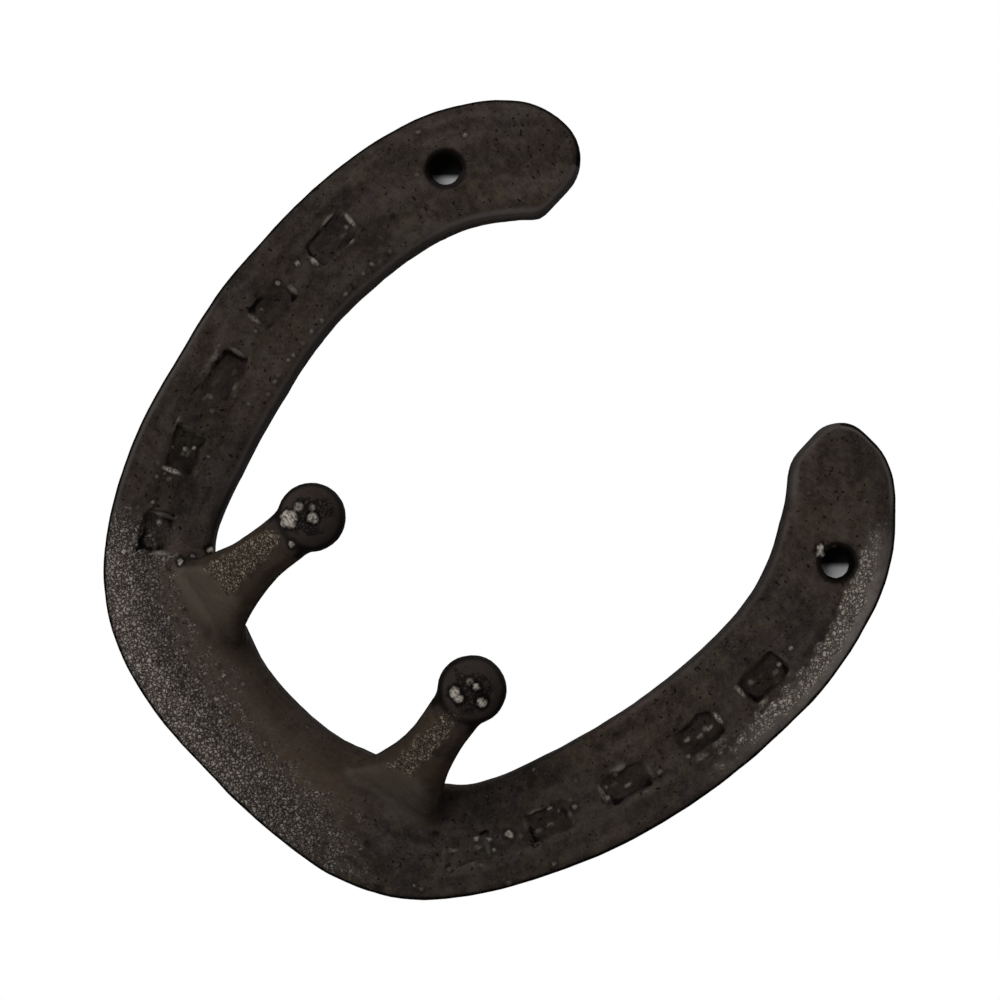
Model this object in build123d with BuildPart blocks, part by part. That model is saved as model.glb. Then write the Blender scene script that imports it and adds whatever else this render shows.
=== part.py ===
from build123d import *
from math import atan2, cos, degrees, hypot, radians, sin
import os

# A wall hook cast in one piece: a horseshoe hung with its opening up, and two ball-ended hooks on its toe.
# Lengths are in millimetres and angles in degrees. The wall is the plane Y = 0, the front faces -Y and
# +Z is up. The origin is on the wall, midway between the two screw holes.

# The shoe is a flat bar bent along tangent arcs: toe, shoulder, quarter and heel. Radii are those of the
# bar's centreline. A heading is 0 where the bar is level at the toe, and 90 where a branch is upright.
bar_width = 19.5
bar_thickness = 7.0
toe_turn = 10.5
quarter_turn = 27.0
shoulder_radius = 30.0
quarter_radius = 116.0
right_heel_radius = 49.0
left_heel_radius = 60.0
left_heel_flare = 8.5       # added to its outer edge's radius, and taken from its inner edge's
heel_turn = 70.0            # of either heel before it is cut to length

# Heel ends: a level top and an upright inner face, with rounded corners in plan
right_heel_inside = 29.8    # inner face, from the shoe's middle
left_heel_inside = 31.0
right_heel_rise = 19.6
left_heel_rise = 20.6
right_heel_outer_round = 11.0
left_heel_outer_round = 17.0
right_heel_tip_round = 5.5
left_heel_tip_round = 7.5
right_heel_inner_round = 8.0
left_heel_inner_round = 4.0
heel_round_share = 0.95     # most of a straight edge that a round beside it may take

# Front of the bar: a rounded edge all round, and a shallow slope along the outer edge
front_edge_radius = 2.2
slope_width = 5.8
slope_drop = 1.3

# Screw holes, on the heels
hole_spacing = 96.5
hole_heel_turn = 27.3       # how far past upright the right heel has turned at its hole
hole_outset = 1.0           # from the right heel's centreline, outwards
hole_radius = 2.6
countersink_radius = 3.7
countersink_angle = 90.0

# Nail pockets, sunk in a shallow groove along each quarter
pocket_count = 5
pocket_pitch = 15.0
pocket_length = 8.6
pocket_width = 5.0
pocket_depth = 1.3
groove_outset = 0.6         # from the bar's centreline, outwards
groove_width = 4.2
groove_depth = 0.5

# Hooks, each a trumpet with a flat front that rises out of the shoulder and ends in a ball
hook_heading = 26.0         # heading of the bar at the root
hook_inset = 1.5            # root's middle, in from the bar's inner edge
hook_reach = 30.0           # wall to the ball's centre
right_hook_rise = 21.6      # root's middle up to the ball's centre
left_hook_rise = 22.7
hook_lean = 3.6             # towards the shoe's middle over that rise
hook_start_angle = 30.0     # above level
hook_root_cover = 1.0       # of bar behind the hook's first section
hook_root_drop = 4.5        # first section, below the root's middle
hook_root_width = 26.0
hook_root_twist = 12.0
hook_root_flat = 0.45       # where the flat front cuts a section, as a share of its half thickness
hook_thickness = 8.0
hook_neck_width = 8.4
hook_neck_flat = 0.85
hook_neck_place = 0.75      # share of the way from the first section to the ball
hook_flare = 1.8            # power by which the root widens
hook_swell = 1.5            # power by which the neck widens to the ball
hook_ball_share = 0.85      # of the ball's width, that the neck has grown to at its centre
hook_sections = 6
ball_radius = 5.7


def cos_deg(angle):
    return cos(radians(angle))


def sin_deg(angle):
    return sin(radians(angle))


# The right branch stands upright at branch_x, branch_z, where its quarter ends and its heel starts.
# The toe is as wide as it takes to bring the heels to the screw holes.
half_width = bar_width / 2
quarter_start = 90 - quarter_turn
shoulder_turn = quarter_start - toe_turn
hole_arm = right_heel_radius + hole_outset
branch_x = hole_spacing / 2 + right_heel_radius - hole_arm * cos_deg(hole_heel_turn)
branch_z = -hole_arm * sin_deg(hole_heel_turn)
shoulder_run = shoulder_radius * (sin_deg(quarter_start) - sin_deg(toe_turn))
quarter_run = quarter_radius * (1 - sin_deg(quarter_start))
shoulder_climb = shoulder_radius * (cos_deg(toe_turn) - cos_deg(quarter_start))
quarter_climb = quarter_radius * cos_deg(quarter_start)
toe_half = branch_x - quarter_run - shoulder_run
toe_radius = toe_half / sin_deg(toe_turn)
toe_end_z = branch_z - quarter_climb - shoulder_climb
toe_z = toe_end_z - toe_radius * (1 - cos_deg(toe_turn))
heels = ((1, right_heel_radius, 0), (-1, left_heel_radius, left_heel_flare))
heel_cuts = (
    (right_heel_inside, right_heel_rise, Align.MIN),
    (left_heel_inside, left_heel_rise, Align.MAX),
)
shoe_span = 2 * (branch_x + half_width)


def half_edge(side, offset, heel_radius):
    """Draw one half of a line along the bar, from mid-toe to past a heel, and return its heel arc."""
    toe = JernArc((0, toe_z - offset), (side, 0), toe_radius + offset, side * toe_turn)
    shoulder = JernArc(toe @ 1, toe % 1, shoulder_radius + offset, side * shoulder_turn)
    quarter = JernArc(shoulder @ 1, shoulder % 1, quarter_radius + offset, side * quarter_turn)
    return JernArc(quarter @ 1, quarter % 1, heel_radius + offset, side * heel_turn)


def round_heel(sketch, side, outer_round, tip_round, inner_round):
    """Round the three plan corners of one trimmed heel: its outer top, its tip and its inner corner."""
    last = -1 if side > 0 else 0
    top = sketch.edges().filter_by(Axis.X).sort_by(Axis.X)[last]
    end = sketch.edges().filter_by(Axis.Y).sort_by(Axis.X)[last]
    outer_corner = top.vertices().sort_by(Axis.X)[last]
    inner_corner, tip = [corner.center() for corner in end.vertices().sort_by(Axis.Y)]
    fillet(outer_corner, min(outer_round, heel_round_share * top.length))
    inner_limit = heel_round_share * end.length
    fillet(sketch.vertices().sort_by_distance(inner_corner)[0], min(inner_round, inner_limit))
    rest_of_top = sketch.edges().filter_by(Axis.X).sort_by(Axis.X)[last]
    rest_of_end = sketch.edges().filter_by(Axis.Y).sort_by(Axis.X)[last]
    tip_limit = heel_round_share * min(rest_of_top.length, rest_of_end.length)
    fillet(sketch.vertices().sort_by_distance(tip)[0], min(tip_round, tip_limit))


# Plan of the shoe, bar first and then the heels cut to length
with BuildSketch(Plane.XZ) as plan:
    with BuildLine():
        for side, heel_radius, flare in heels:
            outer_heel = half_edge(side, half_width, heel_radius + flare)
            inner_heel = half_edge(side, -half_width, heel_radius - flare)
            Line(outer_heel @ 1, inner_heel @ 1)
    make_face()
    for inside, rise, outwards in heel_cuts:
        with Locations((0, toe_z / 2)):
            Rectangle(inside, shoe_span, align=(outwards, Align.MIN), mode=Mode.SUBTRACT)
        with Locations((0, rise)):
            Rectangle(shoe_span, shoe_span, align=(outwards, Align.MIN), mode=Mode.SUBTRACT)
    round_heel(plan, 1, right_heel_outer_round, right_heel_tip_round, right_heel_inner_round)
    round_heel(plan, -1, left_heel_outer_round, left_heel_tip_round, left_heel_inner_round)

# Nail pockets and their grooves, on circles about the centre of each quarter
groove_radius = quarter_radius + groove_outset
pitch_angle = degrees(pocket_pitch / groove_radius)
pocket_range = pitch_angle * (pocket_count - 1)
quarter_centre = (branch_x - quarter_radius, branch_z)

with BuildSketch(Plane.XZ.offset(bar_thickness)) as pockets:
    with Locations(quarter_centre):
        with PolarLocations(groove_radius, pocket_count, -pocket_range, pocket_range, endpoint=True):
            Rectangle(pocket_width, pocket_length)
    mirror(about=Plane.YZ)

with BuildSketch(Plane.XZ.offset(bar_thickness)) as grooves:
    with BuildLine(mode=Mode.PRIVATE) as groove_line:
        CenterArc(quarter_centre, groove_radius, -pocket_range, pocket_range)
    SlotArc(groove_line.wire(), groove_width)
    mirror(about=Plane.YZ)

# Hooks: flat-fronted ellipses along an arc that leaves the bar near its inner edge
root_arm = shoulder_radius - half_width + hook_inset
root_x = toe_half - shoulder_radius * sin_deg(toe_turn) + root_arm * sin_deg(hook_heading)
root_z = toe_end_z + shoulder_radius * cos_deg(toe_turn) - root_arm * cos_deg(hook_heading)
hook_root_half = hypot(
    hook_root_width / 2 * sin_deg(hook_root_twist),
    hook_thickness / 2 * cos_deg(hook_root_twist),
)
hook_root_depth = hook_root_cover + hook_root_half * sin_deg(hook_start_angle)
hook_run = hook_reach - hook_root_depth
ball_end = 2 * ball_radius * hook_ball_share


def build_hook(side, rise):
    """One hook, of the right or left side, with its ball that far above the middle of its root."""
    climb = hypot(rise, hook_lean) + hook_root_drop
    bend = 2 * (degrees(atan2(climb, hook_run)) - hook_start_angle)
    bend_radius = hypot(hook_run, climb) / (2 * sin_deg(abs(bend) / 2))
    hook_plane = Plane((side * root_x, 0, root_z), x_dir=(0, -1, 0), z_dir=(-rise, 0, -side * hook_lean))
    with BuildPart() as hook:
        with BuildLine(hook_plane) as spine:
            JernArc(
                (hook_root_depth, -hook_root_drop),
                (cos_deg(hook_start_angle), sin_deg(hook_start_angle)),
                bend_radius,
                bend,
            )
        for index in range(hook_sections):
            place = index / (hook_sections - 1)
            flare = max(0, 1 - place / hook_neck_place) ** hook_flare
            swell = max(0, (place - hook_neck_place) / (1 - hook_neck_place)) ** hook_swell
            width = hook_neck_width + (hook_root_width - hook_neck_width) * flare
            width += (ball_end - hook_neck_width) * swell
            thickness = hook_thickness + (ball_end - hook_thickness) * swell
            flat = hook_neck_flat + (hook_root_flat - hook_neck_flat) * flare
            section = Plane(spine.line @ place, x_dir=hook_plane.z_dir, z_dir=spine.line % place)
            with BuildSketch(section.rotated((0, 0, side * hook_root_twist * flare))):
                Ellipse(width / 2, thickness / 2)
                with Locations((0, flat * thickness / 2)):
                    Rectangle(width, thickness, align=(Align.CENTER, Align.MIN), mode=Mode.SUBTRACT)
        loft()
        with Locations(Plane(spine.line @ 1, z_dir=spine.line % 1)):
            Sphere(ball_radius)
    return hook.part


right_hook = build_hook(1, right_hook_rise)
left_hook = build_hook(-1, left_hook_rise)

# The whole casting
with BuildPart() as horseshoe_hook:
    extrude(plan.sketch, amount=bar_thickness)
    fillet(horseshoe_hook.faces().sort_by(Axis.Y)[0].edges(), front_edge_radius)
    for side, heel_radius, flare in heels:
        with BuildLine(Plane.XZ.offset(bar_thickness)) as outer_line:
            half_edge(side, half_width, heel_radius + flare)
        start_plane = Plane((0, -bar_thickness, toe_z - half_width), x_dir=(0, 0, side), z_dir=(side, 0, 0))
        # The wedge reaches as far outside the edge as inside it, so it is twice as deep there
        with BuildSketch(start_plane) as wedge:
            inside = side * slope_width
            with BuildLine():
                Polyline((inside, 0), (-inside, 0), (-inside, -2 * slope_drop), close=True)
            make_face()
        sweep(wedge.sketch, path=outer_line.line, mode=Mode.SUBTRACT)
    extrude(grooves.sketch, amount=-groove_depth, mode=Mode.SUBTRACT)
    extrude(pockets.sketch, amount=-pocket_depth, mode=Mode.SUBTRACT)
    with Locations(Plane.XZ.offset(bar_thickness)):
        with Locations((-hole_spacing / 2, 0), (hole_spacing / 2, 0)):
            CounterSinkHole(hole_radius, countersink_radius, counter_sink_angle=countersink_angle)
    add(right_hook)
    add(left_hook)

os.makedirs("parts", exist_ok=True)
horseshoe_hook.part.label = "horseshoe_hook"
export_step(horseshoe_hook.part, "parts/horseshoe_hook.step")
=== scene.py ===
import itertools
import math

import bpy
import numpy as np
from mathutils import Matrix, Vector


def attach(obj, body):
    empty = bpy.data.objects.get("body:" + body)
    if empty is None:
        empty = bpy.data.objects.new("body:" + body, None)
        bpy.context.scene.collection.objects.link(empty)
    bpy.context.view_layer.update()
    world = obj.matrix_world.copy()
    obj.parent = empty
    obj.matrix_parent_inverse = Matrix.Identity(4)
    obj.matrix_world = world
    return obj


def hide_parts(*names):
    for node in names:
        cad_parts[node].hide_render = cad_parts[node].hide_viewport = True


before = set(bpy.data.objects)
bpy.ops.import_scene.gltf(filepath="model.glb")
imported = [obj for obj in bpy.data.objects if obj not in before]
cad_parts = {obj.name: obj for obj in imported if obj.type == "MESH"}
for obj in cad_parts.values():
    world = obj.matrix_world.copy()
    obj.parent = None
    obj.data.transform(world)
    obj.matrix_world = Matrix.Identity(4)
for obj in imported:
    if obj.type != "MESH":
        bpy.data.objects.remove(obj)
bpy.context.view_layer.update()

# A cast-iron horseshoe wall hook. Shapes are worked out in millimetres in the frame of the CAD part
# (wall at Y = 0, front towards -Y, +Z up) and turned into metres at the end. Most places on the shoe
# are given as a pair: the distance along the bar from the middle of the toe, plus to the right and
# minus to the left, and the distance out from the bar's centreline. A side is 1 for the right and
# -1 for the left.
MM = 0.001

# The bar's centreline: radius and turn of the toe, shoulder, quarter and heel
TOE_Z = -93.21
CENTRELINE = ((103.78, 10.5), (30.0, 52.5), (116.0, 27.0), (49.0, 60.0))
ARC_STEPS = 60
FRONT_Y = -7.0

# How far the cast edges stray outwards from those arcs: place along, outer edge, inner edge
EDGE_STRAY = (
    (-144, 0.2, -0.3), (-133, -1.2, 0.0), (-126, 0.0, 0.4), (-114, 0.0, -0.2),
    (-102, -0.3, -0.3), (-92, -0.4, 0.4), (-84, 0.0, 0.3), (-72, -0.6, 0.0),
    (-60, 0.0, 0.0), (-50, -0.1, 0.7), (-42, -0.5, 1.0), (-34, 0.0, 0.0),
    (-24, 0.1, -1.0), (-18, 0.2, -1.5), (-12, 0.2, 0.2), (0, -0.3, 0.3),
    (11, 0.0, 0.0), (18, 0.0, -2.0), (24, 0.0, -1.3), (32, 0.0, -0.4),
    (36, -0.5, -0.9), (40, -0.9, -0.3), (45, -1.0, 0.3), (50, -0.8, 0.6),
    (60, -0.2, 0.0), (78, 0.0, -0.3), (102, -0.3, -0.3), (114, 0.0, 0.0),
    (126, 0.5, -0.1), (132, 0.0, 0.1), (138, -1.1, 0.6), (144, -0.1, 0.4),
)
STRAY_BLUR = 3.0
# From where to where, out from the centreline, the straying grows to its full amount
STRAY_REACH = (1.0, 9.0)
# Room for what the rounding of the edges takes off
EDGE_GROWTH = 0.18

# Nail pockets: the first one's place and their pitch and half length along the bar, then the groove's
# middle and half width across it. Each pocket, from the heel to the toe, has the share of the CAD
# depth that is left and the share of the CAD length.
POCKET_FIRST = 101.2
POCKET_PITCH = 14.92
POCKET_HALF_LENGTH = 4.3
POCKETS = {
    -1: ((0.55, 1.0), (0.6, 0.85), (0.75, 0.95), (0.95, 0.8), (1.25, 0.66)),
    1: ((1.0, 1.0), (0.9, 0.9), (0.8, 0.95), (0.6, 0.8), (0.45, 0.75)),
}
GROOVE_MIDDLE = 0.6
GROOVE_HALF_WIDTH = 3.2
GROOVE_DEPTH = 0.35
GROOVE_DEEPEST = 1.7
# How far the walls of the pockets wander, and the length of the waves
EDGE_JITTER = 0.5
JITTER_WAVE = 2.4

# Hooks: middle of the right one's root in X and Z, lean and rise to the ball, and slope from root to
# ball
HOOK_ROOT = np.array((22.98, -81.52))
HOOK_LEAN = 3.6
HOOK_RISE = {-1: 22.7, 1: 21.6}
HOOK_DROP = 4.5
HOOK_SLOPES = (30.0, 59.5)
BALL_Y = -30.0
BALL_RADIUS = 5.7
# How much of their height below the top and of their width the feet of the hooks give up to the bar
ROOT_TOP = 3.0
ROOT_LIFT = 0.33
ROOT_PINCH = 0.14
# Fillets at the roots: where they fade out round a root, and their place and spread in Y
ROOT_REACH = (16.0, 12.0)
ROOT_FILLET_Y = -7.8
ROOT_FILLET_SPREAD = 1.5
# Fillets below the balls: weight, place past the ball and spread, and where they end up the hook
NECK_WEIGHT = 0.7
NECK_PAST = 0.6
NECK_SPREAD = 1.3
NECK_TOP = (21.0, 18.0)
# Rounding of the arms: weight, and where it ends up the hook
ARM_FILLETS = ((0.2, (20.0, 16.0)), (0.1, (12.0, 6.0)))

# Screw holes: their spacing, how far round them the edges keep their shape, and the ring of painted
# shade inside
HOLE_SPACING = 96.5
HOLE_KEPT = (4.5, 6.0)
HOLE_SHADE = (4.0, 3.4)

# Mesh
VOXEL = 0.32
RELAX_SHARE = 0.5
SOFTEN_STEPS = 4
FILLET_STEPS = 110
EDGE_STEPS = 36
WEAR_STEPS = 25
HOLLOW_STEPS = 2
LINE_STEPS = 14
BAND_STEPS = 50
ROWS_AT_ONCE = 20000
MOST_TRIANGLES = 190000
# Vertices that face less to the front or lie nearer to the wall than this may be thinned out
PLAIN_FACING = -0.3
PLAIN_Y = -3.0

# Noise: how far apart the seeds lie, whole numbers that scatter the cells, and a gain
SEED_SHIFT = 17.3
CELL_FACTORS = (73856093, 19349663, 83492791)
SEED_FACTOR = 15485863
MIX_FACTOR = 1274126177
TEN_BITS = 1023
NOISE_GAIN = 1.6


def smooth_step(low, high, value):
    """0 below low, 1 above high and an even ramp between; high may be the smaller."""
    share = np.clip((value - low) / (high - low), 0.0, 1.0)
    return share * share * (3.0 - 2.0 * share)


def zone(value, rise, fall):
    """1 between two ends; it fades in over the first pair of values and out over the second."""
    return smooth_step(*rise, value) * smooth_step(*fall, value)


def noise(points, wave, seed):
    """Gradient noise from about -1 to 1 with waves of that length in millimetres."""
    scaled = points / wave + seed * SEED_SHIFT
    cell = np.floor(scaled).astype(np.int64)
    part = scaled - cell
    fade = part ** 3 * (part * (part * 6.0 - 15.0) + 10.0)
    total = np.zeros(len(points))
    for corner in itertools.product((0, 1), repeat=3):
        x, y, z = ((cell + corner) * CELL_FACTORS).T
        mix = x ^ y ^ z ^ (seed * SEED_FACTOR)
        mix = (mix ^ (mix >> 13)) * MIX_FACTOR & 0xFFFFFFFF
        mix ^= mix >> 16
        slope = np.stack([mix >> shift & TEN_BITS for shift in (0, 10, 20)], axis=1)
        slope = slope / (TEN_BITS / 2.0) - 1.0
        weight = np.prod(np.where(corner, fade, 1.0 - fade), axis=1)
        total += weight * np.sum(slope * (part - corner), axis=1)
    return total * NOISE_GAIN


def centreline():
    """Points, outward normals and distances along the bar's middle, from the left heel to the right."""
    x, z, heading, run = 0.0, TOE_Z, 0.0, 0.0
    rows = []
    for radius, turn in CENTRELINE:
        start = math.radians(heading)
        for step in range(ARC_STEPS):
            swept = math.radians(turn) * step / ARC_STEPS
            at = start + swept
            rows.append((
                x + radius * (math.sin(at) - math.sin(start)),
                z + radius * (math.cos(start) - math.cos(at)),
                math.sin(at), -math.cos(at), run + radius * swept,
            ))
        end = start + math.radians(turn)
        x += radius * (math.sin(end) - math.sin(start))
        z += radius * (math.cos(start) - math.cos(end))
        heading += turn
        run += radius * math.radians(turn)
    right = np.array(rows)
    left = right[:0:-1] * (-1, 1, -1, 1, -1)
    both = np.concatenate([left, right])
    return both[:, 0:2], both[:, 2:4], both[:, 4]


def shoe_places(points):
    """For each point, distance along the bar, distance out from its centreline and the way out."""
    line_points, line_normals, line_run = centreline()
    flat = points[:, (0, 2)]
    nearest = np.empty(len(points), np.int64)
    for start in range(0, len(points), ROWS_AT_ONCE):
        rows = slice(start, start + ROWS_AT_ONCE)
        nearest[rows] = ((flat[rows, None] - line_points[None]) ** 2).sum(axis=2).argmin(axis=1)
    away = flat - line_points[nearest]
    outwards = line_normals[nearest]
    tangent = np.stack([-outwards[:, 1], outwards[:, 0]], axis=1)
    along = line_run[nearest] + (away * tangent).sum(axis=1)
    return along, (away * outwards).sum(axis=1), outwards


def hook_up(side):
    """The way up a hook from root to ball, in X and Z."""
    rise = np.array((-side * HOOK_LEAN, HOOK_RISE[side]))
    return rise / np.hypot(*rise)


def hook_places(points, side):
    """Distance up a hook from its root and distance across it to the right, seen from the front."""
    up = hook_up(side)
    away = points[:, (0, 2)] - HOOK_ROOT * (side, 1)
    return away @ up, away @ (up[1], -up[0])


def ball_centre(side):
    return np.array((side * (HOOK_ROOT[0] - HOOK_LEAN), BALL_Y, HOOK_ROOT[1] + HOOK_RISE[side]))


def hole_distance(points):
    """Distance from the axis of the nearer screw hole."""
    return np.hypot(np.abs(points[:, 0]) - HOLE_SPACING / 2, points[:, 2])


def evaluated_mesh(piece, name):
    """The piece's mesh with its modifiers applied."""
    depsgraph = bpy.context.evaluated_depsgraph_get()
    mesh = bpy.data.meshes.new_from_object(piece.evaluated_get(depsgraph))
    mesh.name = name
    return mesh


def vertex_array(mesh, field):
    """One three-number field of every vertex, as rows."""
    values = np.empty(len(mesh.vertices) * 3, np.float32)
    mesh.vertices.foreach_get(field, values)
    return values.reshape(-1, 3).astype(float)


def place_vertices(mesh, points):
    mesh.vertices.foreach_set("co", (points * MM).astype(np.float32).ravel())
    mesh.update()


def neighbour_means(values, edges):
    """For each row of values, the mean of the rows that its edges lead to."""
    first, second = edges.T
    rows = len(values)
    count = np.bincount(edges.ravel(), minlength=rows)
    total = [
        np.bincount(first, column[second], rows) + np.bincount(second, column[first], rows)
        for column in values.T
    ]
    return np.stack(total, axis=1) / count[:, None]


def relax(values, edges, weight, steps):
    """Draw each row towards the mean of its neighbours, by its weight, so that creases round off."""
    for _ in range(steps):
        towards = neighbour_means(values, edges) - values
        values = values + RELAX_SHARE * weight[:, None] * towards
    return values


def hollows(points, normals, edges):
    """How hollow the surface is at each point; it is below 0 where the surface bulges."""
    bend = ((neighbour_means(points, edges) - points) * normals).sum(axis=1)
    return relax(bend[:, None], edges, np.ones(len(points)), HOLLOW_STEPS)[:, 0]


def fillet_weights(points):
    """Where the casting has full fillets: round the hooks' roots, on their arms and below the balls."""
    weight = np.zeros(len(points))
    for side in HOOK_RISE:
        climb, across = hook_places(points, side)
        root = np.exp(-((points[:, 1] - ROOT_FILLET_Y) / ROOT_FILLET_SPREAD) ** 2)
        root *= smooth_step(*ROOT_REACH, np.hypot(climb, across))
        away = np.linalg.norm(points - ball_centre(side), axis=1)
        neck = NECK_WEIGHT * np.exp(-((away - BALL_RADIUS - NECK_PAST) / NECK_SPREAD) ** 2)
        neck *= smooth_step(*NECK_TOP, climb)
        arm = sum(share * smooth_step(*end, climb) for share, end in ARM_FILLETS)
        arm *= smooth_step(FRONT_Y - 0.5, FRONT_Y - 2.0, points[:, 1])
        weight = np.max([weight, root, neck, arm * (points[:, 0] * side > 0)], axis=0)
    return weight


def tuck_roots(points):
    """Draw the feet of the hooks up and in, so that they run out into the bar."""
    moved = points.copy()
    proud = smooth_step(FRONT_Y - 0.1, FRONT_Y - 0.9, points[:, 1])
    for side in HOOK_RISE:
        up = hook_up(side)
        climb, across = hook_places(points, side)
        here = proud * (points[:, 0] * side > 0)
        lift = ROOT_LIFT * np.clip(ROOT_TOP - climb, 0.0, None) * here
        pinch = ROOT_PINCH * across * smooth_step(8.0, -4.0, climb) * here
        moved[:, (0, 2)] += lift[:, None] * up - pinch[:, None] * np.array((up[1], -up[0]))
    return moved


def stray_edges(points):
    """Move the bar's edges in and out as the casting's own outline wanders."""
    along, out, outwards = shoe_places(points)
    places, outer, inner = np.array(EDGE_STRAY).T
    near_outer = smooth_step(*STRAY_REACH, out)
    near_inner = smooth_step(*STRAY_REACH, -out)
    shift = EDGE_GROWTH * (near_outer - near_inner)
    blurs = (-STRAY_BLUR, 0.0, STRAY_BLUR)
    for blur in blurs:
        shift += np.interp(along + blur, places, outer) * near_outer / len(blurs)
        shift += np.interp(along + blur, places, inner) * near_inner / len(blurs)
    shift *= smooth_step(FRONT_Y - 2.0, FRONT_Y, points[:, 1])
    moved = points.copy()
    moved[:, (0, 2)] += shift[:, None] * outwards
    return moved


def pocket_middle(side, index):
    return side * (POCKET_FIRST - POCKET_PITCH * index)


def wear_pockets(points):
    """Make the groove and pockets uneven: each pocket's depth its own, and no edge straight."""
    along, out, _ = shoe_places(points)
    share = np.full(len(points), GROOVE_DEPTH)
    for side, pockets in POCKETS.items():
        for index, (depth, length) in enumerate(pockets):
            half = POCKET_HALF_LENGTH * length
            away = np.abs(along - pocket_middle(side, index))
            share += (depth - GROOVE_DEPTH) * smooth_step(half + 0.5, half - 0.3, away)
    sunk = points[:, 1] - FRONT_Y
    half_row = 2.0 * POCKET_PITCH
    reach = np.abs(np.abs(along) - POCKET_FIRST + half_row) - half_row
    wall = (GROOVE_HALF_WIDTH + 0.3, GROOVE_HALF_WIDTH)
    groove = smooth_step(*wall, np.abs(out - GROOVE_MIDDLE))
    groove *= smooth_step(7.0, 6.0, reach) * (sunk < GROOVE_DEEPEST)
    moved = points.copy()
    moved[:, 1] = FRONT_Y + sunk * (1.0 + groove * (share - 1.0))
    for axis, seed in ((0, 21), (2, 22)):
        moved[:, axis] += EDGE_JITTER * groove * noise(points, JITTER_WAVE, seed)
    return moved, groove


def new_casting():
    """An even fine mesh of the CAD part."""
    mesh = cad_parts["horseshoe_hook"].data.copy()
    piece = bpy.data.objects.new("casting", mesh)
    bpy.context.scene.collection.objects.link(piece)
    remesh = piece.modifiers.new("even_mesh", "REMESH")
    remesh.mode = "VOXEL"
    remesh.voxel_size = VOXEL * MM
    remesh.use_smooth_shade = True
    piece.data = evaluated_mesh(piece, "casting")
    piece.modifiers.clear()
    return piece


# Finish of the marks on the bar: most height, wear and darkness of the painted shade in the ring round
# them
BAR_FINISH = (0.5, 0.7, 0.8)
DASH_FINISH = (0.3, 0.55, 0.7)
DOT_FINISH = (0.35, 0.6, 0.8)
BEAD_FINISH = (0.25, 0.35, 0.6)
SPECK_FINISH = (0.22, 0.35, 0.6)
RING_WIDTH = 0.3
# How far from its middle a mark can reach
MARK_REACH = 3.5
# Worn bars at the ends of the pockets: half length along, most half width across, place past the end
BAR_HALF_LENGTH = 0.42
BAR_HALF_WIDTH = 1.6
BAR_PAST = 0.4
# Worn dashes in the pockets: places along from a pocket's middle, and half length and half width
DASH_STEPS = (-2.1, 0.0, 2.1)
DASH_SIZE = (0.7, 0.32)
DASH_SHARES = {-1: 0.5, 1: 1.0}
# Worn dots in and between the pockets, for each pocket
DOT_COUNT = 3
DOT_RADIUS = 0.5
# Beads along the left branch's inner edge: first and last place along and pitch, place out and radius
BEAD_RUN = (-108.0, -70.0, 2.4)
BEAD_OUT = -7.6
BEAD_RADIUS = 0.42
# Sand specks and pits scattered over the front
SPECK_COUNT = 220
SPECK_REACH = (138.0, 8.8)
# Worn spots on the balls and arms: side, offsets in X and Z from the ball's centre, radius and wear
BALL_SPOTS = (
    (-1, -2.0, -2.7, 1.4, 1.0), (-1, 0.7, 0.2, 0.85, 0.9), (-1, -2.3, -0.2, 0.7, 0.5),
    (-1, -0.6, 1.4, 0.5, 0.4), (-1, 1.0, -5.3, 0.45, 0.8), (1, -1.7, -2.1, 0.85, 1.0),
    (1, -0.5, -2.4, 0.7, 0.9), (1, 2.5, -0.1, 0.8, 1.0), (1, 0.1, 1.0, 0.55, 1.0),
    (1, -1.2, 0.9, 0.6, 0.3),
)
# Painted glints on the front, besides the spots: X, Z, radius and strength
PAINTED_GLINTS = (
    (44.8, -0.5, 0.85, 1.0), (-31.5, -80.4, 0.5, 0.9), (-30.8, -78.6, 0.35, 0.6),
    (-29.6, -75.6, 0.5, 1.0), (39.8, -76.3, 0.4, 0.5), (41.6, -73.2, 0.6, 0.7),
    (46.3, -62.0, 0.45, 0.5), (49.2, -56.9, 0.4, 0.5), (36.4, -90.9, 0.3, 0.35),
    (37.8, -90.6, 0.3, 0.35), (50.7, -71.2, 0.3, 0.35),
)
# How ragged the spots and glints are, and how far back in Y they show
BALL_SPOT_EDGE = (0.35, BALL_Y + 4.0)
PAINTED_GLINT_EDGE = (0.7, -5.0)
# Where a spot fades out, in shares of its radius, and where the ring of painted shade round it does,
# past its radius
SPOT_FADE = (1.15, 0.7)
SPOT_RING = (0.9, 0.3)
# Tone of the smooth facet at each hook's root and of the rough crest above it
HOOK_TONES = {-1: (1.0, 1.0), 1: (0.8, 0.7)}
# The crest's middle across the hook and its half width, at its lower and upper end
CREST_MIDDLE = {-1: (-1.3, -1.1), 1: (-1.8, 0.0)}
CREST_HALF_WIDTH = {-1: (3.0, 1.0), 1: (1.9, 1.2)}
# Where the crest starts and ends, up the hook
CREST_CLIMB = (3.5, 17.0)


def lump(along, out, place, size):
    """A rounded lump from 0 to 1 around one place on the bar; size gives its half lengths."""
    reach = np.hypot((along - place[0]) / size[0], (out - place[1]) / size[1])
    return smooth_step(1.35, 0.55, reach)


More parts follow.
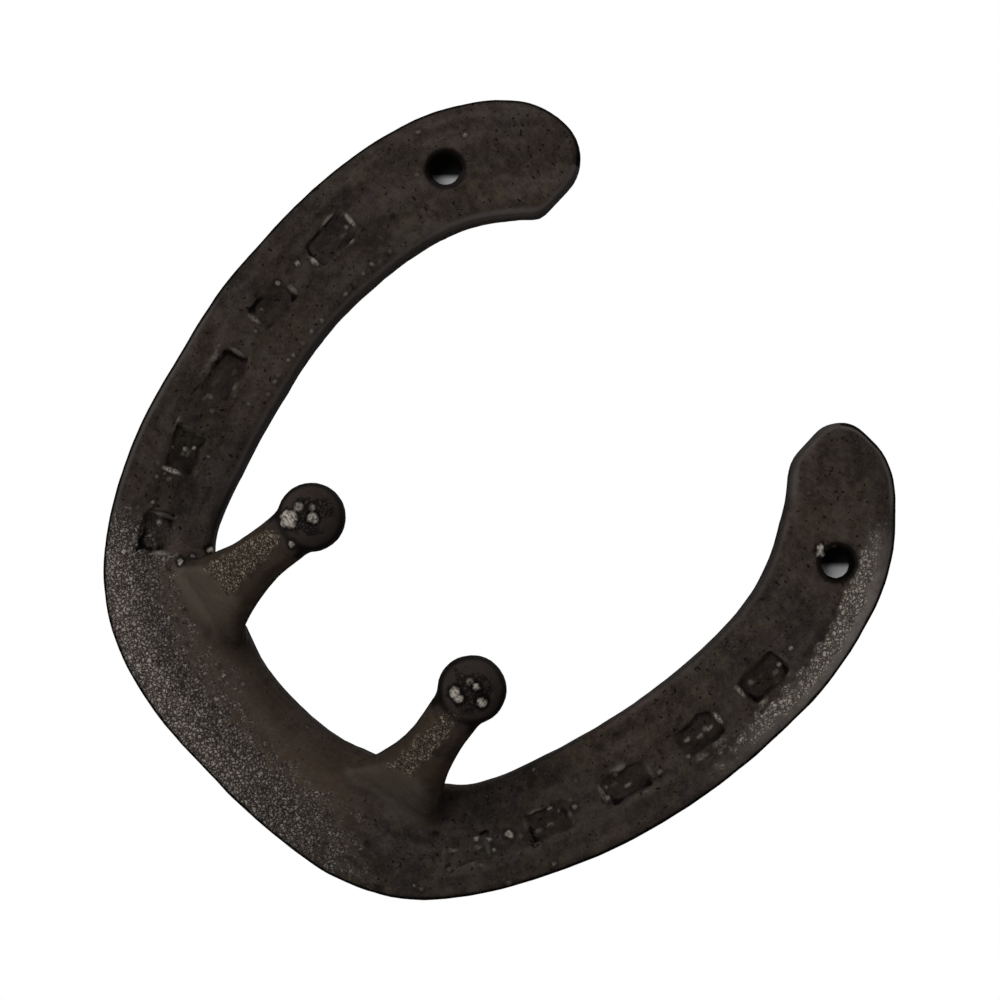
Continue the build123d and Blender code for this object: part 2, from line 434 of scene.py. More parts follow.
def bar_marks(along, out):
    """Heights and wear of the bars, dots, beads and specks on the bar's front, and painted shade round
    them.
    """
    height, wear, ring = np.zeros((3, len(along)))
    draws = np.random.default_rng(7)

    def put(place, size, finish, share, power=2):
        tall, worn, painted_shade = finish
        near = np.abs(along - place[0]) < MARK_REACH
        near = np.flatnonzero(near & (np.abs(out - place[1]) < MARK_REACH))
        shape = lump(along[near], out[near], place, size)
        height[near] += tall * share * shape
        wear[near] = np.maximum(wear[near], worn * max(0.0, share) ** power * shape)
        wide = lump(along[near], out[near], place, (size[0] + RING_WIDTH, size[1] + RING_WIDTH))
        ring[near] = np.maximum(ring[near], painted_shade * abs(share) * wide)

    for side, pockets in POCKETS.items():
        for index, (_, length) in enumerate(pockets):
            middle = pocket_middle(side, index)
            for end in (-1, 1):
                past = end * (POCKET_HALF_LENGTH * length + BAR_PAST)
                place = (middle + past, GROOVE_MIDDLE + draws.uniform(-1.2, 1.2))
                size = (BAR_HALF_LENGTH, BAR_HALF_WIDTH * draws.uniform(0.4, 1.0))
                put(place, size, BAR_FINISH, draws.uniform(0.2, 1.0))
            for step in DASH_STEPS:
                place = (middle + step, GROOVE_MIDDLE + draws.uniform(-0.9, 0.9))
                put(place, DASH_SIZE, DASH_FINISH, draws.uniform(0.0, 1.0) * DASH_SHARES[side])
            for _ in range(DOT_COUNT):
                along_place = middle + draws.uniform(-7.0, 7.0)
                place = (along_place, GROOVE_MIDDLE + draws.uniform(-2.2, 2.2))
                radius = DOT_RADIUS * draws.uniform(0.6, 1.0)
                put(place, (radius, radius), DOT_FINISH, draws.uniform(0.2, 1.0))
    for along_place in np.arange(*BEAD_RUN):
        place = (along_place + draws.uniform(-0.7, 0.7), BEAD_OUT + draws.uniform(-0.4, 0.4))
        put(place, (BEAD_RADIUS, BEAD_RADIUS), BEAD_FINISH, draws.uniform(0.2, 1.0))
    for _ in range(SPECK_COUNT):
        place = draws.uniform(-1.0, 1.0, 2) * SPECK_REACH
        radius = draws.uniform(0.2, 0.42)
        put(place, (radius, radius), SPECK_FINISH, draws.uniform(-1.0, 1.0), power=3)
    return height, wear, ring


def hook_marks(points, normals):
    """Facets, crests and worn spots of the hooks, painted glints, and painted shade in rings round
    them: four masks.
    """
    facet, crest, spots, rings = np.zeros((4, len(points)))
    for side, (facet_tone, crest_tone) in HOOK_TONES.items():
        up = hook_up(side)
        climb, across = hook_places(points, side)
        top = hook_places(ball_centre(side)[None], side)[0][0]
        share = np.clip((climb + HOOK_DROP) / (top + HOOK_DROP), 0.0, 1.0)
        slope = np.radians(HOOK_SLOPES[0] + (HOOK_SLOPES[1] - HOOK_SLOPES[0]) * share)
        facing = -np.sin(slope) * normals[:, 1] - np.cos(slope) * (normals[:, (0, 2)] @ up)
        here = smooth_step(FRONT_Y - 0.2, FRONT_Y - 0.7, points[:, 1]) * (points[:, 0] * side > 0)
        meet = CREST_CLIMB[0] + 1.5 * noise(points, 3.0, 31)
        flat = smooth_step(0.6, 0.9, facing) * smooth_step(8.0, 0.0, across)
        flat *= smooth_step(meet + 3.0, meet - 1.5, climb)
        facet = np.maximum(facet, facet_tone * here * flat)
        middle = np.interp(climb, CREST_CLIMB, CREST_MIDDLE[side])
        half = np.interp(climb, CREST_CLIMB, CREST_HALF_WIDTH[side])
        aside = np.abs(across - middle) + 0.6 * noise(points, 1.6, 33)
        strip = smooth_step(half + 0.9, half - 0.5, aside) * smooth_step(0.3, 0.6, facing)
        strip *= smooth_step(meet - 0.8, meet + 0.8, climb)
        strip *= smooth_step(CREST_CLIMB[1] + 1.0, CREST_CLIMB[1] - 1.5, climb)
        crest = np.maximum(crest, crest_tone * here * strip)

    places = []
    for side, x, z, radius, wear in BALL_SPOTS:
        centre = ball_centre(side)
        places.append((centre[0] + x, centre[2] + z, radius, wear, *BALL_SPOT_EDGE))
    places += [(*glint, *PAINTED_GLINT_EDGE) for glint in PAINTED_GLINTS]
    uneven = noise(points, 0.9, 32)
    for x, z, radius, wear, ragged, behind in places:
        away = np.hypot(points[:, 0] - x, points[:, 2] - z) + ragged * radius * uneven
        shown = wear * (points[:, 1] < behind)
        spot = smooth_step(*(radius * share for share in SPOT_FADE), away)
        ring = smooth_step(*(radius + past for past in SPOT_RING), away)
        spots = np.maximum(spots, shown * spot)
        rings = np.maximum(rings, shown * ring)
    return facet, crest, spots, rings


def edge_bands(points, normals, groove, edges):
    """How near each point is to the casting's sides: a thin line along the edges and a broader band."""
    side = (np.abs(normals[:, 1]) < 0.5) & (points[:, 1] > FRONT_Y + 0.3) & (groove < 0.5)
    whole = np.ones(len(points))
    line = relax(side.astype(float)[:, None], edges, whole, LINE_STEPS)
    band = relax(line, edges, whole, BAND_STEPS)
    return smooth_step(0.04, 0.22, line[:, 0]), smooth_step(0.06, 0.22, band[:, 0])


def edge_weights(points, normals, groove, edges):
    """Where the bar's front edges are well rounded: all round the outline, not at the screw holes."""
    _, band = edge_bands(points, normals, groove, edges)
    band *= smooth_step(-2.5, -4.5, points[:, 1])
    band *= smooth_step(FRONT_Y - 1.0, FRONT_Y - 0.2, points[:, 1])
    return band * smooth_step(*HOLE_KEPT, hole_distance(points))


# Zones along the bar: where each one fades in and where it fades out. The two ends lie past the heels.
LEFT_END = (-200.0, -199.0)
RIGHT_END = (200.0, 199.0)
TOE_GRAIN = ((-50.0, -36.0), (32.0, 8.0))
TOE_MIDDLE = ((-44.0, -32.0), (28.0, 12.0))
LEFT_BRANCH = (LEFT_END, (-36.0, -52.0))
RIGHT_RIM = ((76.0, 116.0), (136.0, 119.0))
# The same for the row of pockets and for its worn lips, on both branches
POCKET_ROW = ((36.0, 42.0), (110.0, 104.0))
POCKET_LIPS = ((38.0, 40.0), (108.0, 106.0))
# Painted light on the rounded edges: strength, outer edge (1) or inner edge (-1), and zone along the
# bar
PAINTED_EDGE_LIGHTS = (
    (0.95, 1, ((133.0, 137.0), RIGHT_END)),
    (0.5, -1, ((133.0, 137.0), RIGHT_END)),
    (0.25, -1, ((70.0, 84.0), (133.0, 126.0))),
    (0.55, -1, ((-120.0, -112.0), (-46.0, -58.0))),
    (0.8, -1, (LEFT_END, (-114.0, -120.0))),
    (0.6, 1, ((-84.0, -76.0), (-40.0, -50.0))),
)
# Tone of the bar's front, and what is taken off it in the row of pockets, everywhere and on the left
BAR_TONE = 1.38
ROW_TONE = 0.03
LEFT_ROW_TONE = 0.12
# Other changes of tone: amount, zone along the bar, and between which places out it grows
WHOLE_WIDTH = (-200.0, -199.0)
BAR_TONES = (
    (-0.12, ((-122.0, -108.0), (-36.0, -52.0)), WHOLE_WIDTH),
    (0.15, ((60.0, 80.0), RIGHT_END), (-1.0, -6.0)),
    (-0.15, ((-70.0, -62.0), (-42.0, -48.0)), WHOLE_WIDTH),
)
# The same within the middle of the toe
TOE_TONES = (
    (0.15, (LEFT_END, RIGHT_END), (-7.0, -1.0)),
    # a painted sheen along the toe's outer edge
    (1.0, (LEFT_END, (16.0, -14.0)), (2.0, 7.5)),
    (-0.4, (LEFT_END, RIGHT_END), (-3.5, -7.0)),
)
# Sand on the balls: where it fades out, away from the ball's middle as seen from the front
BALL_SAND = (4.2, 1.8)


def sandy_zones(along, out, wander):
    """Sandy skin of the toe and of the right branch's outer rim, and the painted sheen along that rim.
    """
    toe = smooth_step(-6.0, -1.0, out + 2.5 * wander)
    toe *= smooth_step(*TOE_GRAIN[0], along + 4.0 * wander)
    toe *= smooth_step(*TOE_GRAIN[1], along + 5.0 * wander)
    toe *= 0.35 + 0.65 * smooth_step(-2.0, 6.0, out)
    branch = zone(along, *RIGHT_RIM)
    rim = smooth_step(3.2, 6.0, out + 1.4 * wander) * smooth_step(8.6, 6.8, out) * branch
    painted_sheen = smooth_step(4.2, 7.0, out + wander) * branch
    return toe, rim, painted_sheen


def bar_tone(along, out, middle):
    """How light the bar's front is, with painted sheen at the toe's outer edge; middle is the toe's
    middle mask.
    """
    row = smooth_step(5.5, 2.5, np.abs(out - GROOVE_MIDDLE)) * zone(np.abs(along), *POCKET_ROW)
    tone = BAR_TONE - (ROW_TONE + LEFT_ROW_TONE * zone(along, *LEFT_BRANCH)) * row
    for share, changes in ((1.0, BAR_TONES), (middle, TOE_TONES)):
        for amount, ends, across in changes:
            tone += amount * share * zone(along, *ends) * smooth_step(*across, out)
    return tone


def edge_light_shares(along, out):
    """How much painted light the rounded edges of the bar get."""
    total = np.zeros(len(along))
    for strength, edge, ends in PAINTED_EDGE_LIGHTS:
        total += strength * zone(along, *ends) * (out * edge > 0.0)
    return np.clip(total, 0.0, 1.0)


def ball_and_arm(points, hook):
    """Masks of the sandy fronts of the balls and of the hooks below the balls."""
    uneven = 1.5 * noise(points, 2.2, 6)
    ball, clear = np.zeros(len(points)), np.ones(len(points))
    for side in HOOK_RISE:
        away = points - ball_centre(side)
        ball = np.maximum(ball, smooth_step(*BALL_SAND, np.hypot(away[:, 0], away[:, 2]) + uneven))
        past = np.linalg.norm(away, axis=1) - BALL_RADIUS
        clear = np.minimum(clear, smooth_step(0.0, 3.0, past))
    return ball * (points[:, 1] < BALL_Y), hook * clear


def relief(points, normals, groove, edges):
    """How far each vertex moves along its normal and out of the wall, and masks of finish and painted
    light.
    """
    along, out, _ = shoe_places(points)
    y = points[:, 1]
    front_share = -normals[:, 1]
    facing = smooth_step(0.38, 0.62, front_share)
    front = facing * smooth_step(-3.0, -4.5, y)
    hook = smooth_step(FRONT_Y - 0.4, FRONT_Y - 1.6, y)
    bar = front * (1.0 - hook)
    back = smooth_step(0.5, 0.9, normals[:, 1]) * smooth_step(-1.0, -0.4, y)
    side = (1.0 - np.max([front, back, hook], axis=0)) * (1.0 - groove)
    inner_wall = side * smooth_step(-4.0, -5.5, y) * (out < 0.0)
    ball, arm = ball_and_arm(points, hook)
    wander = noise(points, 9.0, 1)
    middle = zone(along + 3.0 * wander, *TOE_MIDDLE)
    toe, rim, painted_sheen = sandy_zones(along, out, wander)
    hollow = hollows(points, normals, edges)
    line, band = edge_bands(points, normals, groove, edges)
    facet, crest, spots, rings = hook_marks(points, normals)
    stamp, wear, dots = bar_marks(along, out)

    # Heights of the cast skin
    swell = 0.15 * noise(points, 13.0, 2) + 0.08 * noise(points, 4.5, 3)
    worms = 0.45 * noise(points, 1.35, 4) + 0.75 * noise(points, 0.8, 5)
    rough = 0.1 + 1.2 * np.maximum(toe, rim) * bar + 1.2 * crest + 0.6 * ball
    rough += 0.3 * groove * facing
    height = swell * (1.0 - 0.7 * back) * (1.0 - 0.6 * facet) + 0.14 * worms * rough + 0.2 * spots

    # Worn lips of the pockets, ridges of the arms and streaks that run along the bar
    lips = smooth_step(-0.006, -0.02, hollow) * zone(np.abs(along), *POCKET_LIPS) * bar
    lips *= smooth_step(4.6, 3.6, np.abs(out - GROOVE_MIDDLE))
    lips *= smooth_step(-0.1, 0.5, noise(points, 3.5, 24))
    ridges = smooth_step(-0.005, -0.014, hollow) * arm * front
    flow = np.stack([0.22 * along, out, y], axis=1)
    streak = 0.5 + 0.5 * noise(flow, 2.4, 8) + 0.3 * noise(flow, 1.1, 9)

    # Painted shade: hollow corners, hooks where they turn away, outline and sides, pockets and screw
    # holes
    corners = smooth_step(0.003, 0.013, hollow) * (1.0 - back) * (1.0 - hook)
    corners *= 0.25 + 0.75 * smooth_step(-0.35, 0.3, noise(points, 4.0, 25))
    on_arm, on_ball = smooth_step(0.36, 0.16, front_share), smooth_step(0.62, 0.38, front_share)
    turned = np.where(arm > 0.5, on_arm, on_ball) * smooth_step(-0.2, 0.05, front_share) * hook
    inner_line = 0.95 * smooth_step(-5.0, -3.0, y) * side
    outline = np.where(out < 0.0, inner_line, line * smooth_step(-2.0, -4.0, y))
    sunk = smooth_step(0.25, 1.0, y - FRONT_Y) * groove
    holes = smooth_step(*HOLE_SHADE, hole_distance(points)) * (1.0 - back)

    masks = {
        "grain": toe * bar,
        "rim": rim * bar,
        # painted sheen along the right branch's outer rim
        "painted_sheen": painted_sheen * bar,
        "warm": middle * smooth_step(4.0, -1.0, out + 2.0 * wander) * bar,
        "knob": hook - arm,
        "tone": 1.0 + (bar_tone(along, out, middle) - 1.0) * bar,
        # wear of the bar's marks and pocket lips and of the balls, with the painted glints
        "worn": np.max([wear * bar, spots, 0.3 * lips], axis=0),
        "crest": crest,
        "facet": facet,
        "arm": arm,
        "ridges": ridges,
        "streak": streak,
        "ball": ball,
        # painted shade, also in rings round the worn marks, spots and glints
        "painted_shade": np.max([
            outline * (1.0 - hook), 0.2 * side, 0.9 * turned, 0.95 * corners, 0.4 * sunk,
            0.85 * holes, 0.85 * rings, 0.8 * dots * bar,
        ], axis=0),
        # painted light on the rounded edges and on the front of the inner walls
        "painted_edge_light": band * np.maximum(bar, inner_wall) * edge_light_shares(along, out),
    }
    return height, stamp * bar, masks


def work_surface(piece):
    """Give the mesh its cast form and relief, then thin it out on its sides and back."""
    mesh = piece.data
    edges = np.empty(len(mesh.edges) * 2, np.int32)
    mesh.edges.foreach_get("vertices", edges)
    edges = edges.reshape(-1, 2)
    points = vertex_array(mesh, "co") / MM
    points = relax(points, edges, np.ones(len(points)), SOFTEN_STEPS)
    points = tuck_roots(points)
    points = relax(points, edges, fillet_weights(points), FILLET_STEPS)
    points, groove = wear_pockets(points)
    worn = groove * smooth_step(-0.3, 0.5, noise(points, 5.0, 23))
    points = relax(points, edges, worn, WEAR_STEPS)
    points = stray_edges(points)
    place_vertices(mesh, points)
    rounded = edge_weights(points, vertex_array(mesh, "normal"), groove, edges)
    points = relax(points, edges, rounded, EDGE_STEPS)
    place_vertices(mesh, points)
    normals = vertex_array(mesh, "normal")
    height, stamp, masks = relief(points, normals, groove, edges)
    place_vertices(mesh, points + normals * height[:, None] + np.outer(stamp, (0.0, -1.0, 0.0)))
    for name, values in masks.items():
        layer = mesh.attributes.new(name, "FLOAT", "POINT")
        layer.data.foreach_set("value", values.astype(np.float32))
    plain = piece.vertex_groups.new(name="plain")
    hidden = (normals[:, 1] > PLAIN_FACING) | (points[:, 1] > PLAIN_Y)
    plain.add(np.flatnonzero(hidden).tolist(), 1.0, "REPLACE")
    thin = piece.modifiers.new("thin_out", "DECIMATE")
    thin.ratio = min(1.0, MOST_TRIANGLES / (2.0 * len(mesh.polygons)))
    thin.vertex_group = plain.name
    piece.data = evaluated_mesh(piece, "casting")
    piece.modifiers.clear()


# Camera
CAMERA_DISTANCE = 480.0
CAMERA_TARGET = Vector((-0.563, -4.0, -33.726))
CAMERA_ROLL = math.radians(45.355)
CAMERA_TILT = math.radians(3.0)
CAMERA_CLIP = 0.01
PIXELS_PER_MM = 5.745
IMAGE_PIXELS = 1000
SENSOR_MM = 36.0

IMAGE_RIGHT = Vector((math.cos(CAMERA_ROLL), 0.0, math.sin(CAMERA_ROLL)))
WALL_UP = Vector((-math.sin(CAMERA_ROLL), 0.0, math.cos(CAMERA_ROLL)))
TOWARDS_CAMERA = (Vector((0.0, -1.0, 0.0)) - math.tan(CAMERA_TILT) * WALL_UP).normalized()
IMAGE_UP = TOWARDS_CAMERA.cross(IMAGE_RIGHT)


def add_camera():
    data = bpy.data.cameras.new("camera")
    data.sensor_width = SENSOR_MM
    data.lens = PIXELS_PER_MM * CAMERA_DISTANCE / IMAGE_PIXELS * SENSOR_MM
    data.clip_start = CAMERA_CLIP
    camera = bpy.data.objects.new("camera", data)
    turn = Matrix((IMAGE_RIGHT, IMAGE_UP, TOWARDS_CAMERA)).transposed().to_4x4()
    place = (CAMERA_TARGET + CAMERA_DISTANCE * TOWARDS_CAMERA) * MM
    camera.matrix_world = Matrix.Translation(place) @ turn
    bpy.context.scene.collection.objects.link(camera)
    bpy.context.scene.camera = camera


# Lights: shares of the way towards the camera, to the image's right and up, then size and watts
LIGHT_DISTANCE = 800.0
LIGHTS = {
    "key": (1.0, -0.32, 0.55, 420.0, 4.4),
    "fill": (1.0, -0.75, -0.35, 350.0, 1.4),
    "back": (-0.8, 0.45, 0.75, 420.0, 4.0),
}
AMBIENT = 0.2


def add_light(name, near, right, up, size, watts):
    """A square soft light aimed at the object."""
    data = bpy.data.lights.new(name, "AREA")
    data.size = size * MM
    data.energy = watts
    lamp = bpy.data.objects.new(name, data)
    towards = (TOWARDS_CAMERA * near + IMAGE_RIGHT * right + IMAGE_UP * up).normalized()
    lamp.location = (CAMERA_TARGET + LIGHT_DISTANCE * towards) * MM
    lamp.rotation_mode = "QUATERNION"
    lamp.rotation_quaternion = towards.to_track_quat("Z", "Y")
    bpy.context.scene.collection.objects.link(lamp)


def set_world():
    """White where it is seen or mirrored, and a plain soft level of light on the object."""
    world = bpy.data.worlds.new("studio")
    bpy.context.scene.world = world
    world.use_nodes = True
    nodes, links = world.node_tree.nodes, world.node_tree.links
    path = nodes.new("ShaderNodeLightPath")
    seen = path.outputs["Is Camera Ray"]
    for name in ("Is Glossy Ray", "Is Transmission Ray"):
        either = nodes.new("ShaderNodeMath")
        either.operation = "MAXIMUM"
        links.new(seen, either.inputs[0])
        links.new(path.outputs[name], either.inputs[1])
        seen = either.outputs[0]
    level = nodes.new("ShaderNodeMapRange")
    level.inputs["To Min"].default_value = AMBIENT
    level.inputs["To Max"].default_value = 1.0
    links.new(seen, level.inputs["Value"])
    background = nodes["Background"]
    background.inputs["Color"].default_value = (1.0, 1.0, 1.0, 1.0)
    links.new(level.outputs["Result"], background.inputs["Strength"])


class Paint:
    """Short names for adding nodes to one material."""

    def __init__(self, material):
        material.use_nodes = True
        self.nodes = material.node_tree.nodes
        self.links = material.node_tree.links
        self.shader = self.nodes["Principled BSDF"]

    def put(self, value, socket):
        if isinstance(value, bpy.types.NodeSocket):
            self.links.new(value, socket)
        else:
            socket.default_value = value

    def mask(self, name):
        node = self.nodes.new("ShaderNodeAttribute")
        node.attribute_name = name
        return node.outputs["Fac"]

    def place(self):
        return self.nodes.new("ShaderNodeTexCoord").outputs["Object"]

    def noise(self, wave, detail=2.0, roughness=0.5):
        """Noise from 0 to 1 with waves of that length in millimetres."""
        node = self.nodes.new("ShaderNodeTexNoise")
        node.inputs["Scale"].default_value = 1.0 / (wave * MM)
        node.inputs["Detail"].default_value = detail
        node.inputs["Roughness"].default_value = roughness
        self.links.new(self.place(), node.inputs["Vector"])
        return node.outputs["Fac"]

    def pebbles(self, wave, swirl):
        """Uneven cells of that size in millimetres: distance from their edges, and a tone for each."""
        place = self.place()
        drift = self.nodes.new("ShaderNodeTexNoise")
        drift.inputs["Scale"].default_value = 1.0 / (wave * MM)
        drift.inputs["Detail"].default_value = 1.0
        self.links.new(place, drift.inputs["Vector"])
        moved = self.nodes.new("ShaderNodeVectorMath")
        moved.operation = "MULTIPLY_ADD"
        moved.inputs[1].default_value = (swirl * MM,) * 3
        self.links.new(drift.outputs["Color"], moved.inputs[0])
        self.links.new(place, moved.inputs[2])
        cells = []
        for feature in ("DISTANCE_TO_EDGE", "F1"):
            node = self.nodes.new("ShaderNodeTexVoronoi")
            node.feature = feature
            node.inputs["Scale"].default_value = 1.0 / (wave * MM)
            self.links.new(moved.outputs[0], node.inputs["Vector"])
            cells.append(node)
        return cells[0].outputs["Distance"], cells[1].outputs["Color"]

    def ramp(self, value, low, high, to_low=0.0, to_high=1.0):
        node = self.nodes.new("ShaderNodeMapRange")
        names = ("From Min", "From Max", "To Min", "To Max")
        for name, number in zip(names, (low, high, to_low, to_high)):
            node.inputs[name].default_value = number
        self.put(value, node.inputs["Value"])
        return node.outputs["Result"]

    def math(self, operation, first, second=0.0):
        node = self.nodes.new("ShaderNodeMath")
        node.operation = operation
        self.put(first, node.inputs[0])
        self.put(second, node.inputs[1])
        return node.outputs[0]

    def times(self, first, second):
        return self.math("MULTIPLY", first, second)

    def patchy(self, mask, wave):
        """A mask that breaks up into patches where it is weak."""
        uneven = self.ramp(self.noise(wave, 2.0), 0.3, 0.7)
        kept = self.ramp(self.math("SUBTRACT", mask, self.times(uneven, 0.7)), -0.15, 0.3)
        return self.times(kept, self.ramp(mask, 0.0, 0.15))

    def mix(self, share, first, second, blend="MIX"):
        """Blend of two colours, each a socket or red, green and blue."""
        node = self.nodes.new("ShaderNodeMix")
        node.data_type = "RGBA"
        node.blend_type = blend
        factor, _, _, _, _, _, low, high = node.inputs[:8]
        self.put(share, factor)
        for colour, socket in ((first, low), (second, high)):
            self.put((*colour, 1.0) if isinstance(colour, tuple) else colour, socket)
        return node.outputs[2]

    def bump(self, height, distance, strength, under=None):
        node = self.nodes.new("ShaderNodeBump")
        node.inputs["Distance"].default_value = distance * MM
        self.put(strength, node.inputs["Strength"])
        self.put(height, node.inputs["Height"])
        if under is not None:
            self.links.new(under, node.inputs["Normal"])
        return node.outputs["Normal"]


# Colours of the finish
SKIN = {
    "ground": (0.0148, 0.0122, 0.0112),
    "brown": (0.0275, 0.0190, 0.0130),
    "lilac": (0.0255, 0.0196, 0.0196),
    "olive": (0.0320, 0.0265, 0.0175),
    "pale_streak": (0.0430, 0.0350, 0.0315),
    "dark_streak": (0.0110, 0.0090, 0.0078),
    "pale_mottle": (0.0460, 0.0365, 0.0305),
    "dark_mottle": (0.0090, 0.0070, 0.0060),
    "pale_speck": (0.0560, 0.0450, 0.0390),
    "dark_speck": (0.0085, 0.0064, 0.0052),
    "pinhole": (0.0035, 0.0026, 0.0022),
    "knob": (0.0310, 0.0240, 0.0225),
    "warm": (0.0400, 0.0290, 0.0205),
    "painted_sheen": (0.165, 0.142, 0.130),
    "painted_edge_light": (0.085, 0.073, 0.069),
    "ochre": (0.040, 0.0285, 0.0190),
    "facet": (0.080, 0.065, 0.051),
    "ridge": (0.095, 0.070, 0.047),
    "painted_shade": (0.0022, 0.0017, 0.0014),
    "bright": (0.36, 0.325, 0.285),
}
# Sandy skins: mask, size of the patches, and colours of the duller and paler pebbles and of the gaps
# The gaps' colours are painted shade between the pebbles; the rim's light colours are its sand with a
# painted sheen.
SANDS = (
    ("grain", 1.8, (0.068, 0.056, 0.049), (0.175, 0.152, 0.137), (0.0040, 0.0030, 0.0026)),
    ("ball", 1.2, (0.018, 0.014, 0.013), (0.046, 0.040, 0.038), (0.0050, 0.0040, 0.0035)),
    ("rim", 1.6, (0.230, 0.203, 0.172), (0.470, 0.422, 0.358), (0.0350, 0.0280, 0.0230)),
    ("crest", 1.5, (0.120, 0.096, 0.071), (0.240, 0.201, 0.156), (0.0110, 0.0077, 0.0053)),
)
PEBBLE_SIZE = 0.66
PEBBLE_SWIRL = 1.1
PEBBLE_HEIGHT = 0.22
SKIN_HEIGHT = 0.30
SKIN_GLOSS = 0.012


def iron_material():
    """Cast iron, old brown-black finish worn bright where it stands proud; painted shade, sheen and
    glints.
    """
    material = bpy.data.materials.new("cast_iron")
    paint = Paint(material)
    worn, arm, painted_shade, streak = (paint.mask(name) for name in ("worn", "arm", "painted_shade", "streak"))

    # Skin of the casting: brown-black in patches, streaked and finely mottled
    patches = paint.ramp(paint.noise(14.0, 3.0), 0.35, 0.68)
    lilac = paint.ramp(paint.noise(7.0, 2.0), 0.45, 0.65)
    olive = paint.ramp(paint.noise(4.5, 2.0, 0.6), 0.50, 0.68)
    mottle = paint.ramp(paint.noise(1.7, 5.0, 0.72), 0.34, 0.68)
    speck = paint.noise(0.42, 2.0, 0.6)
    colour = paint.mix(patches, SKIN["ground"], SKIN["brown"])
    for name, share in (
        ("lilac", paint.times(lilac, 0.75)),
        ("olive", paint.times(olive, 0.7)),
        ("pale_streak", paint.ramp(streak, 0.5, 1.0, 0.0, 0.6)),
        ("dark_streak", paint.ramp(streak, 0.5, 0.0, 0.0, 0.65)),
        ("pale_mottle", paint.ramp(mottle, 0.5, 1.0, 0.0, 0.5)),
        ("dark_mottle", paint.ramp(mottle, 0.5, 0.0, 0.0, 0.5)),
        ("pale_speck", paint.ramp(speck, 0.50, 0.72, 0.0, 0.25)),
        ("dark_speck", paint.ramp(speck, 0.46, 0.28, 0.0, 0.3)),
        ("pinhole", paint.ramp(paint.noise(0.6, 0.0), 0.27, 0.22, 0.0, 0.85)),
        ("knob", paint.times(paint.mask("knob"), 0.6)),
        ("warm", paint.times(paint.mask("warm"), 0.45)),
    ):
        colour = paint.mix(share, colour, SKIN[name])
    colour = paint.mix(1.0, colour, paint.mask("tone"), "MULTIPLY")

    # Painted sheen on the rim and edge light, and browner hooks with a smooth lighter facet at the root
    patchy_brown = paint.ramp(paint.noise(6.0, 2.0), 0.4, 0.65, 0.2, 0.75)
    for name, share in (
        ("painted_sheen", paint.times(paint.mask("painted_sheen"), paint.ramp(mottle, 0.0, 1.0, 0.55, 0.95))),
        ("painted_edge_light", paint.mask("painted_edge_light")),
        ("ochre", paint.times(arm, patchy_brown)),
        ("facet", paint.times(paint.mask("facet"), paint.ramp(mottle, 0.0, 1.0, 0.65, 0.95))),
        ("ridge", paint.times(paint.mask("ridges"), paint.ramp(mottle, 0.0, 1.0, 0.2, 0.8))),
    ):
        colour = paint.mix(share, colour, SKIN[name])

    # Sandy skin on the toe, right branch's outer rim, hooks' crests and balls, with painted shade in
    # its gaps
    depth, tones = paint.pebbles(PEBBLE_SIZE, PEBBLE_SWIRL)
    gaps = paint.times(paint.ramp(depth, 0.24, 0.06), 0.9)
    lightness = paint.ramp(tones, 0.1, 1.0)
    sandy = 0.0
    for name, patch_size, low, high, gap_shade in SANDS:
        share = paint.patchy(paint.mask(name), patch_size)
        crust = paint.mix(gaps, paint.mix(lightness, low, high), gap_shade)
        # the toe's grain takes the bar's tone, with its painted sheen
        if name == "grain":
            crust = paint.mix(0.8, crust, paint.mask("tone"), "MULTIPLY")
        colour = paint.mix(paint.times(share, 0.9), colour, crust)
        sandy = paint.math("MAXIMUM", share, sandy)

    # Painted shade in corners and hollows and on the sides; bright where worn through, and painted
    # glints
    colour = paint.mix(painted_shade, colour, SKIN["painted_shade"])
    scuffed = paint.ramp(paint.noise(0.5, 2.0, 0.6), 0.34, 0.52, 0.15, 1.0)
    bright = paint.times(worn, scuffed)
    colour = paint.mix(bright, colour, SKIN["bright"])

    rough = paint.ramp(mottle, 0.0, 1.0, 0.92, 0.8)
    rough = paint.math("SUBTRACT", rough, paint.times(bright, 0.35))
    rough = paint.math("MAXIMUM", rough, painted_shade)
    normal = paint.bump(paint.ramp(depth, 0.0, 0.3), PEBBLE_HEIGHT, paint.times(sandy, 0.8))
    normal = paint.bump(paint.noise(1.1, 5.0, 0.65), SKIN_HEIGHT, 0.6, normal)
    paint.put(colour, paint.shader.inputs["Base Color"])
    paint.put(rough, paint.shader.inputs["Roughness"])
    paint.put(normal, paint.shader.inputs["Normal"])
    paint.put(SKIN_GLOSS, paint.shader.inputs["Specular IOR Level"])
    return material


# Discs of the wall that show through the screw holes: radius, gap behind the hook, from where to
# where the shade of the hook's edge falls on them, and the two tones
WALL_DISC_RADIUS = 3.2
WALL_GAP = 0.6
WALL_SHADE = (-0.6, 0.3)
WALL_PALE = (0.60, 0.60, 0.60)
WALL_DARK = (0.02, 0.02, 0.02)
# The floor, well below the hook and out of the picture
FLOOR_RADIUS = 200.0
FLOOR_CENTRE = (0.0, -90.0, -193.0)
FLOOR_TONES = ((0.80, 0.80, 0.79), (0.84, 0.84, 0.83))
FLOOR_ROUGHNESS = 0.8
FLOOR_WAVE = 60.0
DISC_STEPS = 64


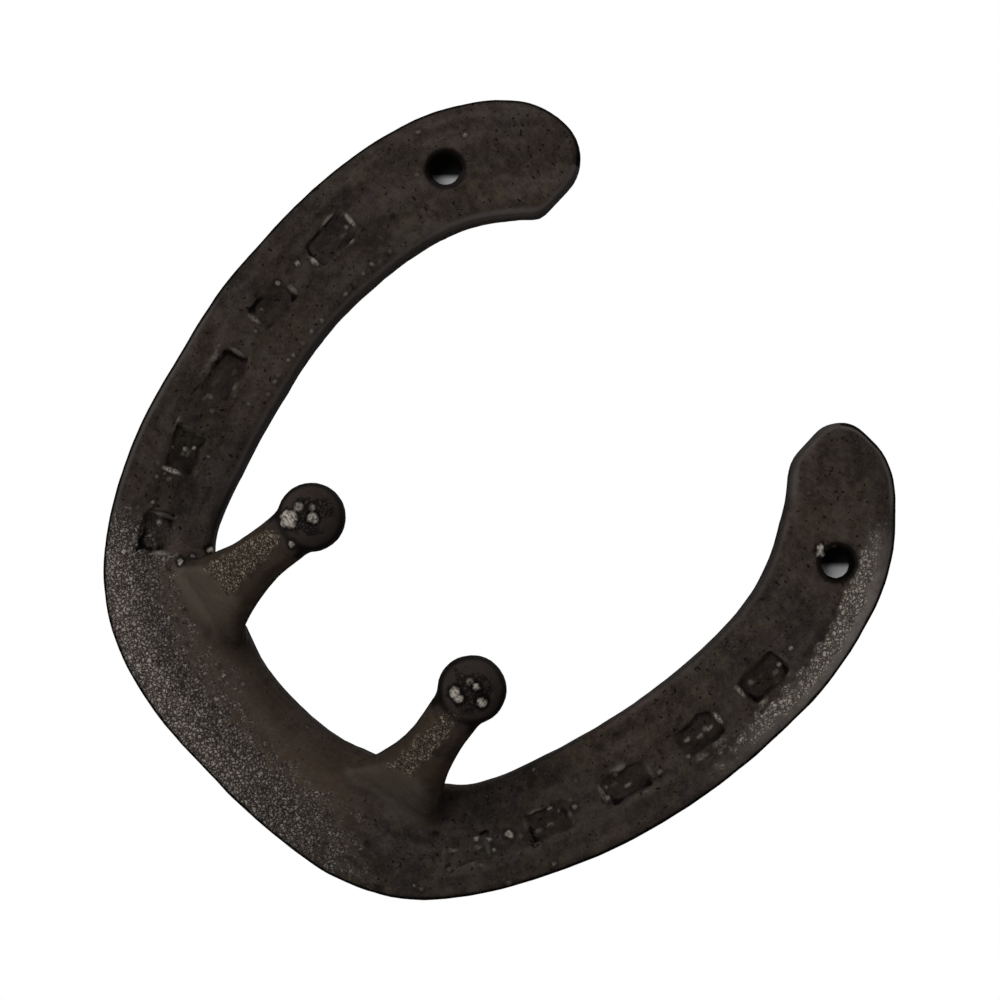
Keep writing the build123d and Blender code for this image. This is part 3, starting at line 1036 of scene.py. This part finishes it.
def add_disc(name, centre, radius, first, second, material):
    """A flat round stage piece spanned by two directions; it faces along their cross product."""
    mesh = bpy.data.meshes.new(name)
    ring = []
    for step in range(DISC_STEPS):
        turn = 2.0 * math.pi * step / DISC_STEPS
        way = math.cos(turn) * Vector(first) + math.sin(turn) * Vector(second)
        ring.append(radius * MM * way)
    mesh.from_pydata(ring, [], [range(DISC_STEPS)])
    mesh.materials.append(material)
    disc = bpy.data.objects.new(name, mesh)
    disc.location = Vector(centre) * MM
    bpy.context.scene.collection.objects.link(disc)


def wall_material():
    """Pale and shaded from above in front; clear from behind, so that the hook's back shows whole."""
    material = bpy.data.materials.new("wall")
    paint = Paint(material)
    height = paint.nodes.new("ShaderNodeVectorMath")
    height.operation = "DOT_PRODUCT"
    height.inputs[1].default_value = WALL_UP
    paint.links.new(paint.place(), height.inputs[0])
    shade = paint.ramp(height.outputs["Value"], *(edge * MM for edge in WALL_SHADE))
    paint.put(paint.mix(shade, WALL_PALE, WALL_DARK), paint.shader.inputs["Base Color"])
    paint.put(0.0, paint.shader.inputs["Specular IOR Level"])
    clear = paint.nodes.new("ShaderNodeBsdfTransparent")
    facing = paint.nodes.new("ShaderNodeNewGeometry")
    either = paint.nodes.new("ShaderNodeMixShader")
    paint.links.new(facing.outputs["Backfacing"], either.inputs[0])
    paint.links.new(paint.shader.outputs[0], either.inputs[1])
    paint.links.new(clear.outputs[0], either.inputs[2])
    paint.links.new(either.outputs[0], paint.nodes["Material Output"].inputs["Surface"])
    return material


def floor_material():
    material = bpy.data.materials.new("floor")
    paint = Paint(material)
    tone = paint.ramp(paint.noise(FLOOR_WAVE, 2.0), 0.3, 0.7)
    paint.put(paint.mix(tone, *FLOOR_TONES), paint.shader.inputs["Base Color"])
    paint.put(FLOOR_ROUGHNESS, paint.shader.inputs["Roughness"])
    return material


casting = new_casting()
work_surface(casting)
casting.data.materials.clear()
casting.data.materials.append(iron_material())
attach(casting, "root")
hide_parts("horseshoe_hook")

wall = wall_material()
for name, side in (("wall_left", -1), ("wall_right", 1)):
    centre = (side * HOLE_SPACING / 2, WALL_GAP, 0.0)
    add_disc(name, centre, WALL_DISC_RADIUS, (1.0, 0.0, 0.0), (0.0, 0.0, 1.0), wall)
add_disc("floor", FLOOR_CENTRE, FLOOR_RADIUS, (1.0, 0.0, 0.0), (0.0, 1.0, 0.0), floor_material())

add_camera()
for name, placing in LIGHTS.items():
    add_light(name, *placing)
set_world()
bpy.context.scene.view_settings.view_transform = "Standard"
